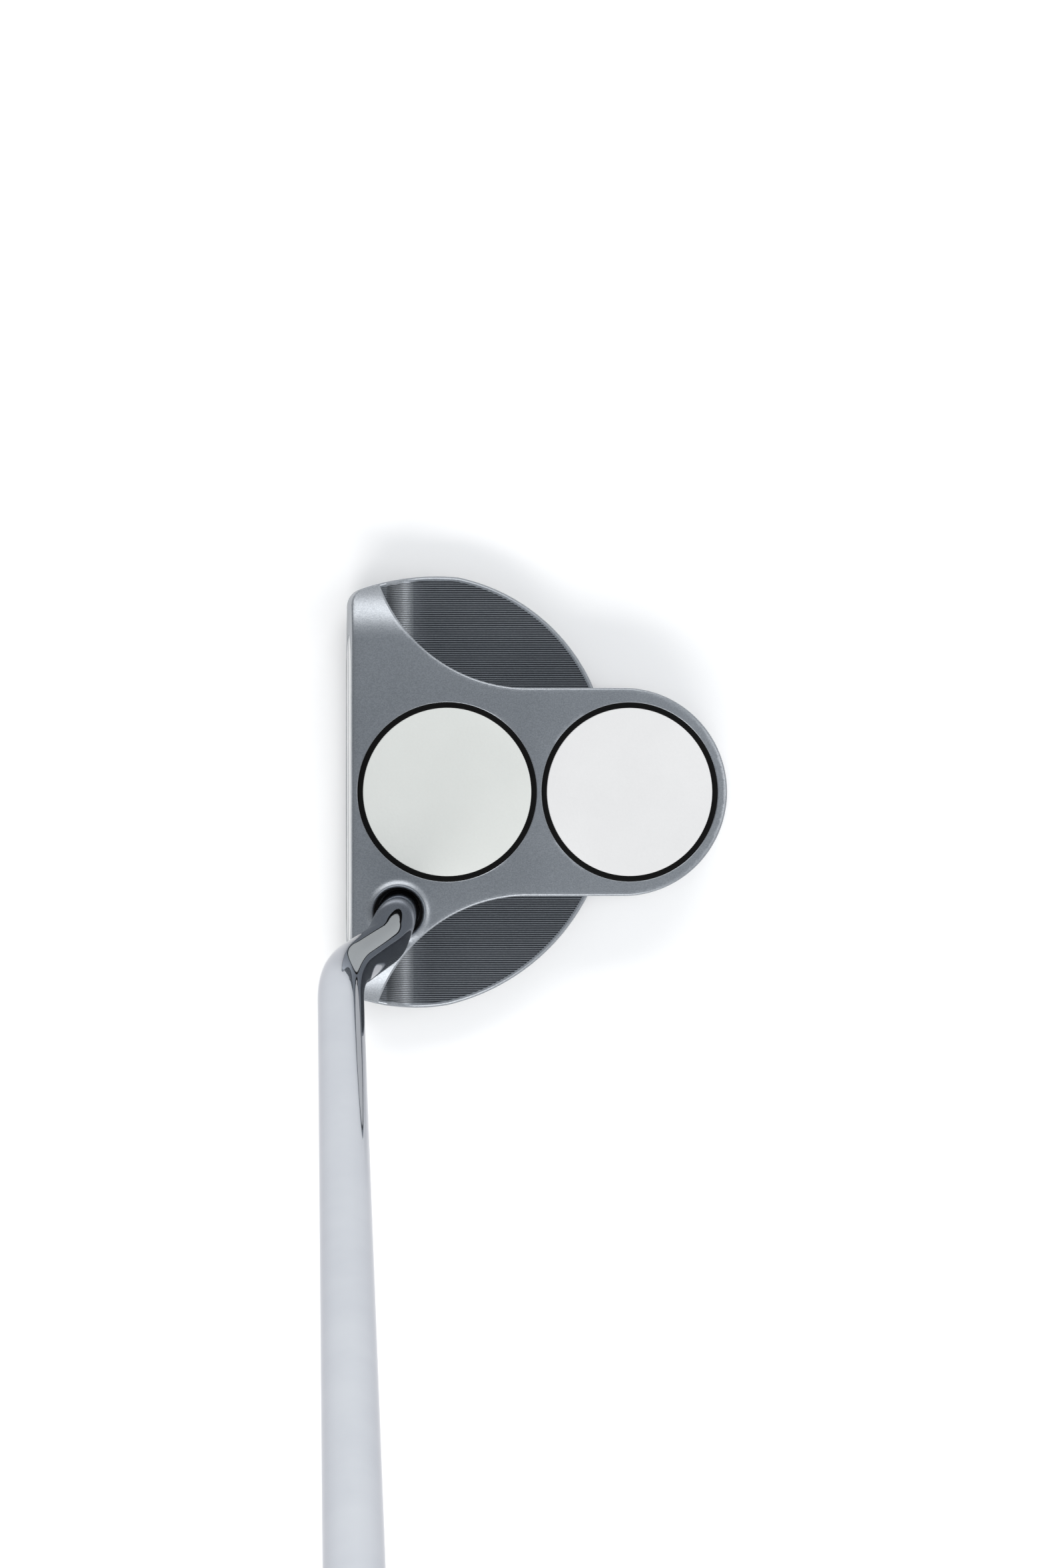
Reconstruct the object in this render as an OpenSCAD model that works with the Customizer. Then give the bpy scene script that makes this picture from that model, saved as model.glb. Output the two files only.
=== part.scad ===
// Mallet putter with two alignment discs, right-handed, double-bend steel shaft.
// Frame: +X from the striking face to the back, +Y from heel to toe, +Z up.
// Origin: flat of the sole, straight below the middle of the front disc.
// The club stands in its address pose: sole flat, shaft leaning to the heel side.

/* [Head] */
// distance from disc middle forward to the leading edge
face_x = 24; // [22:0.1:26]
// height of the flat top above the ground
top_z = 25; // [22:0.5:28]
// height of the sunk wing floors
wing_z = 12; // [9:0.5:16]
// loft of the face
loft = 3; // [0:0.5:6]
// half width of the rear lobe
lobe_r = 24.8; // [23:0.1:27]
// rounding radius of the front-to-back heel and toe shoulders
shoulder_r = 20; // [14:0.5:24]
// rocker radius of the sole from heel to toe
camber_r = 260; // [180:10:400]

/* [Discs] */
// radius of the black rings, the radius of a golf ball
ring_r = 21.33; // [20:0.01:22]
// radius of the white discs
disc_r = 20.05; // [18:0.01:21]
// where the middle of the rear disc sits
rear_x = 43.66; // [43:0.01:46]
// slope of the rear deck
rear_tilt = 8; // [0:0.5:12]

/* [Face insert] */
// length of the insert from heel to toe
insert_l = 75; // [60:1:80]
// height of the insert
insert_h = 17; // [12:0.5:19]
// thickness of the insert
insert_t = 3.2; // [2:0.1:5]

/* [Shaft] */
// angle between shaft and ground
lie = 70; // [66:0.5:76]
// overall length from the ground to the end of the grip
club_l = 863.6; // [813:1:914]
// radius of the tip inside the head
tip_r = 4.8; // [4.6:0.01:5]
// radius of the butt under the grip
butt_r = 7.5; // [7:0.05:7.7]
// wall of the shaft
shaft_wall = 0.5; // [0.4:0.05:1]
// radius of both bends
bend_r = 110; // [60:5:140]

/* [Grip] */
// length of the rubber grip
grip_l = 266; // [240:1:300]
// radius at the open lower end
grip_r1 = 9.8; // [9:0.1:12]
// radius at the butt end
grip_r2 = 13.6; // [12:0.1:15]

/* [Sole weights] */
// how far heel and toe weights sit from the middle
weight_y = 39.5; // [37:0.5:41]
// radius of the weight flange
weight_r = 6.5; // [5:0.1:7]

/* [Hidden] */
$fn = 96;
big = 200;
eps = 0.01;
gap = 0.05;
// head outline: arcs of the toe and heel half-moons
toe_front = [-2.38, 0.69, 50.93];
toe_back = [-6.29, 6.93, 45.38];
heel_front = [-6.88, -9.58, 42.08];
heel_back = [-11.06, -1.73, 50.62];
toe_corner = [-19.3, 43.82, 4.6];
heel_corner = [-19.3, -44.94, 4.6];
lobe_x = 42.28;
// edge of the raised deck above the wings
deck_w = lobe_r;
deck_arc = [19.2, 62.3, 37.5];
ramp_x = -7.6;
ramp_r = 8;
// slope of the ramp where it leaves the floor
ramp_start = 12;
ramp_c = [ramp_x + ramp_r * sin(ramp_start), wing_z + ramp_r * cos(ramp_start)];
shoulder_y = 36;
brow_r = 1.3;
lead_r = 2.2;
// deck slope and disc seats
crease_x = 21.96;
rear_z = top_z - (rear_x - crease_x) * tan(rear_tilt);
seat_d = 2.4;
pad_t = 0.3;
pad_in = 0.5;
seat_clear = 0.05;
ring_low = 0.2;
disc_edge = 0.15;
disc_proud = 0.05;
// face
face_zc = 12.3;
glue_t = 0.2;
glue_in = 1;
insert_low = 0.1;
insert_gap = 0.1;
face_xc = -face_x + face_zc * tan(loft);
// sole plate and its screws
body_z = 0.6;
sole_t = 3.5;
sole_w = 20;
sole_x0 = -17;
sole_x1 = 36;
sole_corner = 5;
screw_at = [[-13, 12], [-13, -12], [21, 15], [21, -15], [51.5, 0]];
screw_r = 1.7;
screw_head_r = 3.3;
screw_l = 8;
screw_hex = 1.3;
screw_hex_d = 1.6;
screw_sink = 0.1;
screw_slack = 0.15;
head_slack = 0.25;
// hollows under the sole plate
hollow_x = [-8.5, 16.5];
hollow_w = 12;
hollow_z = 16.5;
rear_hollow_x = 37;
rear_hollow_z = 13.5;
rear_hollow_r = 12;
// sole weights
weight_x = -12.5;
seat_z = 6.6;
seal_t = 0.4;
flange_t = 2.1;
thread_r = 5;
thread_l = 3.2;
run_fit = 0.05;
key_r = 2.9;
key_d = 3.2;
seal_in = 0.3;
thread_slack = 0.4;
// shaft axis: through the bore, two bends, then straight up at the lie angle
bore_at = [-11.6, -28.6, 25];
knee_1 = [-15.4, -35.24, 69];
line_x = -26.4;
lean = 90 - lie;
ground_y = 12 * tan(lean);
knee_2 = [line_x, ground_y - 125.2 * tan(lean), 125.2];
dir_1 = (knee_1 - bore_at) / norm(knee_1 - bore_at);
dir_2 = (knee_2 - knee_1) / norm(knee_2 - knee_1);
dir_3 = [0, -sin(lean), cos(lean)];
turn_1 = acos(dir_1 * dir_2);
turn_2 = acos(dir_2 * dir_3);
trim_1 = bend_r * tan(turn_1 / 2);
trim_2 = bend_r * tan(turn_2 / 2);
tip_depth = 20.5;
bend_1_r = 5.05;
bend_2_r = 5.25;
bend_step = 0.02;
bite = 0.5;
knee_2_s = norm(knee_2 - [line_x, ground_y, 0]);
cap_t = 3.6;
butt_s = club_l - cap_t;
leg_1 = norm(knee_1 - bore_at) - trim_1 + tip_depth;
leg_2 = norm(knee_2 - knee_1) - trim_1 - trim_2;
leg_3 = butt_s - knee_2_s - trim_2;
taper = (butt_r - bend_2_r) / leg_3;
// bore of the head
bore_r = 5.05;
mouth_r = 5.8;
mouth_z = 22;
boss_r = 7.1;
boss_z = 26.2;
boss_fillet = 1.2;
ferrule_t = 1.6;
ferrule_fit = 0.2;
bore_above = 5;
// glue round the tip
glue_top = 4;
glue_fit = 0.12;
// where the seam of every tube of the shaft's lower end lies
seam_turn = 50;
// grip
tape_t = 0.25;
tape_in = 2;
sleeve_fit = 0.02;
grip_s0 = butt_s - grip_l + cap_t;
grip_h = butt_s - grip_s0;
grip_flat = 10.4;
// the bulge towards the palm at the butt end: where it starts and is full, below the cap
bulge_y = -1.6;
bulge_start = 70;
bulge_full = 30;
bulge_r1 = 12;
bulge_r2 = grip_r2 + 0.4;
cap_r = 14.2;
cap_y = -1.2;
cap_edge = 1.2;
cap_edge_h = 1;
plug_l = 9;
plug_fit = 0.15;
vent_r = 1.2;
vent_cone = 0.8;

// ---------- frames ----------
module at_front_disc() {
    translate([0, 0, top_z]) children();
}

module at_rear_disc() {
    translate([rear_x, 0, rear_z]) rotate([0, rear_tilt, 0]) children();
}

// local z leaves the face, local x climbs it
module at_face() {
    translate([face_xc, 0, face_zc]) rotate([0, loft - 90, 0]) children();
}

// local z runs up the straight part of the shaft, measured from the ground
module at_shaft(s) {
    translate([line_x, ground_y, 0]) rotate([lean, 0, 0]) translate([0, 0, s]) children();
}

// local z along d, starting at p
module along(p, d) {
    translate(p) rotate([0, acos(d[2]), atan2(d[1], d[0])]) rotate([0, 0, seam_turn]) children();
}

module along_x(x0, l, y, z, r) {
    translate([x0, y, z]) rotate([0, 90, 0]) cylinder(h = l, r = r);
}

module along_y(y0, l, x, z, r) {
    translate([x, y0, z]) rotate([-90, 0, 0]) cylinder(h = l, r = r);
}

module disc_2d(c) {
    translate([c[0], c[1]]) circle(r = c[2]);
}

module slab(x0, x1, y0, y1) {
    translate([x0, y0]) square([x1 - x0, y1 - y0]);
}

// ---------- head outline ----------
// wedge outside a rounded corner, from the flat front to the big arc
module corner_wedge(c, arc) {
    d = [c[0] - arc[0], c[1] - arc[1]] / norm([c[0] - arc[0], c[1] - arc[1]]);
    p = [c[0], c[1]];
    polygon([p, p + big * [-1, 0], p + big * (d + [-1, 0]), p + big * d]);
}

module half_moon(front_arc, back_arc, corner, side) {
    difference() {
        intersection() {
            disc_2d(front_arc);
            disc_2d(back_arc);
            slab(-face_x, big, side > 0 ? 0 : -big, side > 0 ? big : 0);
        }
        corner_wedge(corner, front_arc);
    }
    disc_2d(corner);
}

module outline() {
    half_moon(toe_front, toe_back, toe_corner, 1);
    half_moon(heel_front, heel_back, heel_corner, -1);
    slab(0, lobe_x, -lobe_r, lobe_r);
    disc_2d([lobe_x, 0, lobe_r]);
}

// the sunk wing seen from above, toe side or heel side
module wing_2d(side) {
    scale([1, side]) {
        disc_2d(deck_arc);
        slab(deck_arc[0], big, deck_w, big);
    }
}

// ---------- head cutters ----------
module wing_cut(side) {
    difference() {
        translate([0, 0, wing_z]) linear_extrude(height = big) wing_2d(side);
        difference() {
            translate([ramp_x - big, -big / 2, wing_z - 1]) cube([big, big, ramp_c[1] - wing_z + 1]);
            along_y(-big, 2 * big, ramp_c[0], ramp_c[1], ramp_r);
        }
        translate([ramp_c[0] - ramp_r - big, -big / 2, 0]) cube([big, big, big]);
    }
}

// rounds the top of the front bar down to heel or toe
module shoulder_cut(side) {
    difference() {
        translate([-big / 2, side > 0 ? shoulder_y : -shoulder_y - big, top_z - shoulder_r]) cube([big, big, big]);
        along_x(-big, 2 * big, side * shoulder_y, top_z - shoulder_r, shoulder_r);
    }
}

module face_cut() {
    at_face() translate([-big / 2, -big / 2, 0]) cube([big, big, big]);
}

// small rounding between the face and the flat top
module brow_cut() {
    x = -face_x + top_z * tan(loft);
    difference() {
        translate([x - 1, -big / 2, top_z - brow_r]) cube([1 + brow_r, big, big]);
        along_y(-big, 2 * big, x + brow_r, top_z - brow_r, brow_r);
    }
}

// rounding between the face and the sole
module lead_cut() {
    z = body_z + lead_r;
    difference() {
        translate([-face_x - 1, -big / 2, z - big]) cube([1 + lead_r, big, big]);
        along_y(-big, 2 * big, -face_x + lead_r, z, lead_r);
    }
}

module rear_slope_cut() {
    translate([crease_x, -big / 2, top_z]) rotate([0, rear_tilt, 0]) cube([big, big, big]);
}

module camber_cut() {
    difference() {
        translate([-big, -big, -1]) cube([2 * big, 2 * big, 30]);
        along_x(-big - 1, 2 * big + 2, 0, camber_r + body_z, camber_r);
    }
}

module disc_seat() {
    translate([0, 0, -seat_d]) cylinder(h = big, r = ring_r + seat_clear);
}

module stadium(l, h) {
    square([h, l - h], center = true);
    translate([0, l / 2 - h / 2]) circle(r = h / 2);
    translate([0, h / 2 - l / 2]) circle(r = h / 2);
}

module sole_2d(shrink) {
    difference() {
        slab(sole_x0 + shrink, sole_x1, -sole_w + shrink, sole_w - shrink);
        for (side = [-1, 1])
            difference() {
                translate([sole_x0, side * sole_w]) square(2 * sole_corner, center = true);
                disc_2d([sole_x0 + sole_corner, side * (sole_w - sole_corner), sole_corner - shrink]);
            }
    }
    disc_2d([sole_x1, 0, sole_w - shrink]);
}

module weight_pocket(side) {
    translate([weight_x, side * weight_y, -1]) cylinder(h = seat_z + 1, r = weight_r + run_fit);
    translate([weight_x, side * weight_y, 0]) cylinder(h = seat_z + thread_l + thread_slack, r = thread_r + run_fit);
}

module hollows() {
    translate([0, 0, sole_t - 1]) linear_extrude(height = hollow_z - sole_t + 1) slab(hollow_x[0], hollow_x[1], -hollow_w, hollow_w);
    translate([rear_hollow_x, 0, sole_t - 1]) cylinder(h = rear_hollow_z - sole_t + 1, r = rear_hollow_r);
}

module boss() {
    translate([bore_at[0], bore_at[1], 0]) {
        translate([0, 0, wing_z]) cylinder(h = boss_z - wing_z, r = boss_r);
        translate([0, 0, top_z - eps])
            rotate_extrude() difference() {
                translate([boss_r - 1, 0]) square([boss_fillet + 1, boss_fillet]);
                translate([boss_r + boss_fillet, boss_fillet]) circle(r = boss_fillet);
            }
    }
}

module head_body() {
    color([0.62, 0.64, 0.68])
    difference() {
        union() {
            difference() {
                linear_extrude(height = top_z) outline();
                for (side = [-1, 1]) {
                    wing_cut(side);
                    shoulder_cut(side);
                }
                brow_cut();
                rear_slope_cut();
            }
            boss();
        }
        face_cut();
        lead_cut();
        camber_cut();
        at_front_disc() disc_seat();
        at_rear_disc() disc_seat();
        at_face() translate([0, 0, -insert_t - glue_t])
            linear_extrude(height = big) stadium(insert_l + 2 * insert_gap, insert_h + 2 * insert_gap);
        translate([0, 0, -1]) linear_extrude(height = sole_t + 1) sole_2d(-gap);
        for (p = screw_at) translate([p[0], p[1], 0]) cylinder(h = screw_l + 1, r = screw_r + gap);
        hollows();
        for (side = [-1, 1]) weight_pocket(side);
        along(bore_at - tip_depth * dir_1, dir_1) cylinder(h = tip_depth + bore_above, r = bore_r);
        translate([bore_at[0], bore_at[1], mouth_z]) cylinder(h = 10, r = mouth_r);
    }
}

// ---------- face ----------
module face_insert() {
    color([0.93, 0.93, 0.91])
    at_face() translate([0, 0, -insert_t])
        linear_extrude(height = insert_t - insert_low) stadium(insert_l, insert_h);
}

module insert_adhesive() {
    color([0.75, 0.72, 0.6])
    at_face() translate([0, 0, -insert_t - glue_t])
        linear_extrude(height = glue_t) stadium(insert_l - 2 * glue_in, insert_h - 2 * glue_in);
}

// ---------- alignment discs ----------
module disc_shape() {
    translate([0, 0, pad_t - seat_d]) cylinder(h = seat_d - pad_t + disc_proud - disc_edge, r = disc_r);
    translate([0, 0, disc_proud - disc_edge - eps])
        cylinder(h = disc_edge + eps, r1 = disc_r, r2 = disc_r - disc_edge);
}

module ring_shape() {
    difference() {
        translate([0, 0, -seat_d]) cylinder(h = seat_d - ring_low, r = ring_r);
        translate([0, 0, -seat_d - 1]) cylinder(h = seat_d + 2, r = disc_r + gap);
    }
}

module pad_shape() {
    translate([0, 0, -seat_d]) cylinder(h = pad_t, r = disc_r - pad_in);
}

module front_disc() {
    color([0.9, 0.9, 0.9]) at_front_disc() disc_shape();
}

module front_disc_ring() {
    color([0.06, 0.06, 0.07]) at_front_disc() ring_shape();
}

module front_disc_pad() {
    color([0.7, 0.66, 0.5]) at_front_disc() pad_shape();
}

module rear_disc() {
    color([0.9, 0.9, 0.9]) at_rear_disc() disc_shape();
}

module rear_disc_ring() {
    color([0.06, 0.06, 0.07]) at_rear_disc() ring_shape();
}

module rear_disc_pad() {
    color([0.7, 0.66, 0.5]) at_rear_disc() pad_shape();
}

// ---------- sole ----------
module sole_plate() {
    color([0.55, 0.56, 0.58])
    difference() {
        linear_extrude(height = sole_t) sole_2d(0);
        for (p = screw_at) translate([p[0], p[1], 0]) {
            translate([0, 0, -1]) cylinder(h = sole_t + 2, r = screw_r + screw_slack);
            translate([0, 0, -gap])
                cylinder(h = screw_head_r - screw_r + head_slack + gap, r1 = screw_head_r + head_slack, r2 = screw_r);
        }
    }
}

module screw() {
    difference() {
        union() {
            cylinder(h = screw_head_r - screw_r, r1 = screw_head_r - screw_sink, r2 = screw_r);
            cylinder(h = screw_l, r = screw_r);
        }
        translate([0, 0, -1]) cylinder(h = screw_hex_d + 1, r = screw_hex, $fn = 6);
    }
}

module sole_plate_screws() {
    color([0.4, 0.4, 0.42])
    for (p = screw_at) translate([p[0], p[1], screw_sink]) screw();
}

module weight(side) {
    z = seat_z - seal_t - gap;
    translate([weight_x, side * weight_y, z])
        difference() {
            union() {
                translate([0, 0, -flange_t]) cylinder(h = flange_t, r = weight_r);
                translate([0, 0, -eps]) cylinder(h = thread_l + seal_t, r = thread_r);
            }
            translate([0, 0, -flange_t - 1]) cylinder(h = key_d + 1, r = key_r, $fn = 6);
        }
}

module sole_weight_heel() {
    color([0.5, 0.5, 0.53]) weight(-1);
}

module sole_weight_toe() {
    color([0.5, 0.5, 0.53]) weight(1);
}

module seal(side) {
    translate([weight_x, side * weight_y, seat_z - seal_t])
        difference() {
            cylinder(h = seal_t - gap / 2, r = weight_r - seal_in);
            translate([0, 0, -1]) cylinder(h = seal_t + 2, r = thread_r + run_fit);
        }
}

module weight_seal_heel() {
    color([0.1, 0.1, 0.1]) seal(-1);
}

module weight_seal_toe() {
    color([0.1, 0.1, 0.1]) seal(1);
}

// ---------- shaft ----------
// bend from the end of leg a to the start of leg b, tube radius r
module bend(knee, a, b, turn, trim, r) {
    start = knee - trim * a;
    side = (b - (a * b) * a) / norm(b - (a * b) * a);
    third = cross(a, side);
    // columns: to the bend centre, out of plane, along leg a
    multmatrix([[side[0], -third[0], a[0], start[0]],
                [side[1], -third[1], a[1], start[1]],
                [side[2], -third[2], a[2], start[2]],
                [0, 0, 0, 1]])
        translate([bend_r, 0, 0]) rotate([90, 0, 0])
            rotate_extrude(start = 180 - turn, angle = turn) translate([bend_r, 0]) circle(r = r);
}

// solid shaft, thinned all round by inset; each leg ends a little way inside its bends,
// which are a hair thicker, so that the pieces join cleanly
module shaft_solid(inset) {
    along(bore_at - tip_depth * dir_1, dir_1)
        cylinder(h = leg_1 + bite, r1 = tip_r - inset, r2 = bend_1_r - inset);
    bend(knee_1, dir_1, dir_2, turn_1, trim_1, bend_1_r + bend_step - inset);
    along(knee_1 + (trim_1 - bite) * dir_2, dir_2)
        cylinder(h = leg_2 + 2 * bite, r1 = bend_1_r - inset, r2 = bend_2_r - inset);
    bend(knee_2, dir_2, dir_3, turn_2, trim_2, bend_2_r + bend_step - inset);
    at_shaft(knee_2_s + trim_2 - bite)
        cylinder(h = leg_3 + bite, r1 = bend_2_r - inset, r2 = butt_r - inset);
}

module shaft() {
    color([0.8, 0.82, 0.85])
    difference() {
        shaft_solid(0);
        shaft_solid(shaft_wall);
        along(bore_at - (tip_depth + 1) * dir_1, dir_1) cylinder(h = 1 + gap, r = tip_r - shaft_wall);
        at_shaft(butt_s - gap) cylinder(h = 1, r = butt_r - shaft_wall);
    }
}

module shaft_epoxy() {
    color([0.35, 0.33, 0.25])
    difference() {
        along(bore_at - tip_depth * dir_1, dir_1) cylinder(h = tip_depth - glue_top, r = bore_r);
        along(bore_at - (tip_depth + 1) * dir_1, dir_1)
            cylinder(h = leg_1, r = bore_r - glue_fit);
    }
}

module hosel_ring() {
    color([0.05, 0.05, 0.05])
    difference() {
        translate([bore_at[0], bore_at[1], mouth_z]) cylinder(h = ferrule_t, r = mouth_r - gap);
        along(bore_at - tip_depth * dir_1, dir_1) cylinder(h = leg_1, r = tip_r + ferrule_fit);
    }
}

// ---------- grip ----------
function shaft_r(s) = bend_2_r + (s - knee_2_s - trim_2) * taper;

module shaft_sleeve(extra) {
    at_shaft(grip_s0 - 1)
        cylinder(h = grip_h + 2, r1 = shaft_r(grip_s0 - 1) + extra, r2 = shaft_r(butt_s + 1) + extra);
}

module grip_tape() {
    color([0.85, 0.83, 0.75])
    difference() {
        at_shaft(grip_s0 + tape_in) cylinder(h = grip_h - 2 * tape_in,
            r1 = shaft_r(grip_s0 + tape_in) + tape_t, r2 = shaft_r(butt_s - tape_in) + tape_t);
        shaft_sleeve(sleeve_fit);
    }
}

module grip() {
    color([0.08, 0.08, 0.09])
    difference() {
        at_shaft(grip_s0) intersection() {
            union() {
                cylinder(h = grip_h, r1 = grip_r1, r2 = grip_r2);
                translate([0, bulge_y, grip_h - bulge_start])
                    cylinder(h = bulge_start - bulge_full, r1 = bulge_r1, r2 = bulge_r2);
                translate([0, bulge_y, grip_h - bulge_full]) cylinder(h = bulge_full, r = bulge_r2);
            }
            translate([-big, -big, -1]) cube([2 * big, big + grip_flat, grip_h + 2]);
        }
        shaft_sleeve(tape_t + sleeve_fit);
    }
}

module grip_cap() {
    color([0.08, 0.08, 0.09])
    at_shaft(butt_s) difference() {
        union() {
            intersection() {
                union() {
                    translate([0, cap_y, 0]) cylinder(h = cap_t - cap_edge_h, r = cap_r);
                    translate([0, cap_y, cap_t - cap_edge_h])
                        cylinder(h = cap_edge_h, r1 = cap_r, r2 = cap_r - cap_edge);
                }
                translate([-big, -big, -1]) cube([2 * big, big + grip_flat, cap_t + 2]);
            }
            translate([0, 0, -plug_l]) cylinder(h = plug_l + 1, r = butt_r - shaft_wall - plug_fit);
        }
        translate([0, 0, -plug_l - 1]) cylinder(h = big, r = vent_r);
        translate([0, 0, cap_t - vent_cone]) cylinder(h = vent_cone + 1, r1 = vent_r, r2 = vent_r + vent_cone + 1);
    }
}

head_body();
face_insert();
insert_adhesive();
front_disc();
front_disc_ring();
front_disc_pad();
rear_disc();
rear_disc_ring();
rear_disc_pad();
sole_plate();
sole_plate_screws();
sole_weight_heel();
sole_weight_toe();
weight_seal_heel();
weight_seal_toe();
shaft();
shaft_epoxy();
hosel_ring();
grip_tape();
grip();
grip_cap();
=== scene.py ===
"""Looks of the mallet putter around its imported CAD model. Sizes are millimetres, turned to metres by MM."""
import math
import bpy
import bmesh
import numpy as np
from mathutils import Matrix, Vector
from mathutils.geometry import delaunay_2d_cdt


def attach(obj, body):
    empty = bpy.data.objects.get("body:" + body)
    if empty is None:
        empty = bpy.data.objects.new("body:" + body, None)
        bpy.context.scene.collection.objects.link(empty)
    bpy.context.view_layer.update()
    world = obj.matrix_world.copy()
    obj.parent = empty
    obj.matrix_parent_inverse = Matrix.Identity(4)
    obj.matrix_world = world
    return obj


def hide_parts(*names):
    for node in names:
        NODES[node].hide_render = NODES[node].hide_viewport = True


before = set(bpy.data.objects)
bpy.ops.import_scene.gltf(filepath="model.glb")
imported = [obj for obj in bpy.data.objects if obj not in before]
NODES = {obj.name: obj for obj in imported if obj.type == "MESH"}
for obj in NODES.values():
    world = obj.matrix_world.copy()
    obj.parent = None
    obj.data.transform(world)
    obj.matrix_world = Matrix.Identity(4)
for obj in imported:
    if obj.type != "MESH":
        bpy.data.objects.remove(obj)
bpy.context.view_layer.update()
MM = 0.001


# ------------------------------------------------------------------ sizes, mm, as in the CAD
TOP_Z = 25.0
WING_Z = 12.0
LOFT = math.radians(3.0)
FRONT_TOP_X = -22.69
CREASE_X = 21.96
TILT = math.radians(8.0)
DISC_R = 20.05
RING_R = 21.33
SEAT_R = 21.38
SEAT_D = 2.4
REAR_X = 43.66
REAR_Z = TOP_Z - (REAR_X - CREASE_X) * math.tan(TILT)
LOBE_R = 24.8
LOBE_X = 42.28
CAMBER_R = 260.0
BODY_Z = 0.6
SHOULDER_Y = 36.0
SHOULDER_R = 20.0
BORE = (-11.6, -28.6)
MOUTH_R = 5.8
WEIGHT_X = -12.5
WEIGHT_Y = 39.5
RAMP_X = -7.6
RAMP_START = math.radians(9)
RAMP_R = 8.0
RIB_PITCH = 0.52
RIB_DEPTH = 0.26
RAMP_RIB_SHARE = 0.35
RIM_W = 1.05
FACE_ZC = 12.3
POCKET_R = 6.55
POCKET_MOUTH_R = 6.6
SEAT_Z = 6.6
THREAD_HOLE_R = 5.05
THREAD_DEEP_R = 5.35
THREAD_RING_STEP = 0.5
THREAD_L = 3.2
SEAL_T = 0.4
RUN_FIT = 0.05
FLANGE_T = 2.1


# ------------------------------------------------------------------ small helpers
def mesh_object(name, verts, faces, smooth_angle):
    me = bpy.data.meshes.new(name)
    me.from_pydata([tuple(np.asarray(v, float) * MM) for v in verts], [], [tuple(f) for f in faces])
    me.validate()
    ob = bpy.data.objects.new(name, me)
    bpy.context.scene.collection.objects.link(ob)
    weld(ob)
    shade(ob, smooth_angle)
    return ob


def weld(ob, dist=0.002):
    bm = bmesh.new()
    bm.from_mesh(ob.data)
    bmesh.ops.remove_doubles(bm, verts=bm.verts, dist=dist * MM)
    bmesh.ops.recalc_face_normals(bm, faces=bm.faces)
    bm.to_mesh(ob.data)
    bm.free()


def shade(ob, degrees):
    """Smooth everywhere, sharp where two faces meet at more than this angle."""
    bm = bmesh.new()
    bm.from_mesh(ob.data)
    limit = math.radians(degrees)
    for f in bm.faces:
        f.smooth = True
    for e in bm.edges:
        e.smooth = len(e.link_faces) == 2 and e.calc_face_angle(0) < limit
    bm.to_mesh(ob.data)
    bm.free()


def finish_piece(ob, mat, body, slot, *nodes):
    if not ob.data.materials:
        ob.data.materials.append(mat)
    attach(ob, body)
    if nodes:
        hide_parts(*nodes)
    return ob


def arc(c, r, a0, a1, step):
    """Points on a circle from angle a0 to a1, both in degrees, at about this spacing."""
    n = max(2, int(abs(math.radians(a1 - a0)) * r / step) + 1)
    return [(c[0] + r * math.cos(math.radians(a)), c[1] + r * math.sin(math.radians(a)))
            for a in np.linspace(a0, a1, n)]


def line(p, q, step):
    n = max(2, int(math.dist(p, q) / step) + 1)
    return [(p[0] + (q[0] - p[0]) * t, p[1] + (q[1] - p[1]) * t) for t in np.linspace(0, 1, n)]


def chain(*parts):
    """Joins point runs into one closed loop without repeated points."""
    out = []
    for part in parts:
        for p in part:
            if not out or math.dist(out[-1], p) > 0.02:
                out.append(p)
    if math.dist(out[0], out[-1]) < 0.02:
        out.pop()
    return out


def circles_meet(c0, r0, c1, r1, pick):
    """The crossing of two circles for which pick(x, y) is largest."""
    d = math.dist(c0, c1)
    a = (r0 * r0 - r1 * r1 + d * d) / (2 * d)
    h = math.sqrt(max(r0 * r0 - a * a, 0))
    ux, uy = (c1[0] - c0[0]) / d, (c1[1] - c0[1]) / d
    m = (c0[0] + a * ux, c0[1] + a * uy)
    return max([(m[0] - h * uy, m[1] + h * ux), (m[0] + h * uy, m[1] - h * ux)], key=lambda p: pick(*p))


def angle(c, p):
    return math.degrees(math.atan2(p[1] - c[1], p[0] - c[0]))


def offset_loop(loop, d):
    """The closed loop moved inwards by d (counter-clockwise loops), with mitred corners."""
    p = np.asarray(loop, float)
    e = np.roll(p, -1, 0) - p
    e /= np.linalg.norm(e, axis=1)[:, None]
    n = np.c_[-e[:, 1], e[:, 0]]
    m = n + np.roll(n, 1, 0)
    m /= np.maximum((m * np.roll(n, 1, 0)).sum(1), 0.35)[:, None]
    return p + d * m


def smoothstep(x, a, b):
    t = np.clip((np.asarray(x, float) - a) / (b - a), 0, 1)
    return t * t * (3 - 2 * t)


def inside(loop, x, y):
    """Whether points lie inside a closed loop (even-odd rule)."""
    p = np.asarray(loop, float)
    q = np.roll(p, -1, 0)
    x, y = np.asarray(x, float), np.asarray(y, float)
    hit = np.zeros(x.shape, bool)
    for (x0, y0), (x1, y1) in zip(p, q):
        if y0 == y1:
            continue
        cross = ((y0 > y) != (y1 > y)) & (x < (x1 - x0) * (y - y0) / (y1 - y0) + x0)
        hit ^= cross
    return hit


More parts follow.
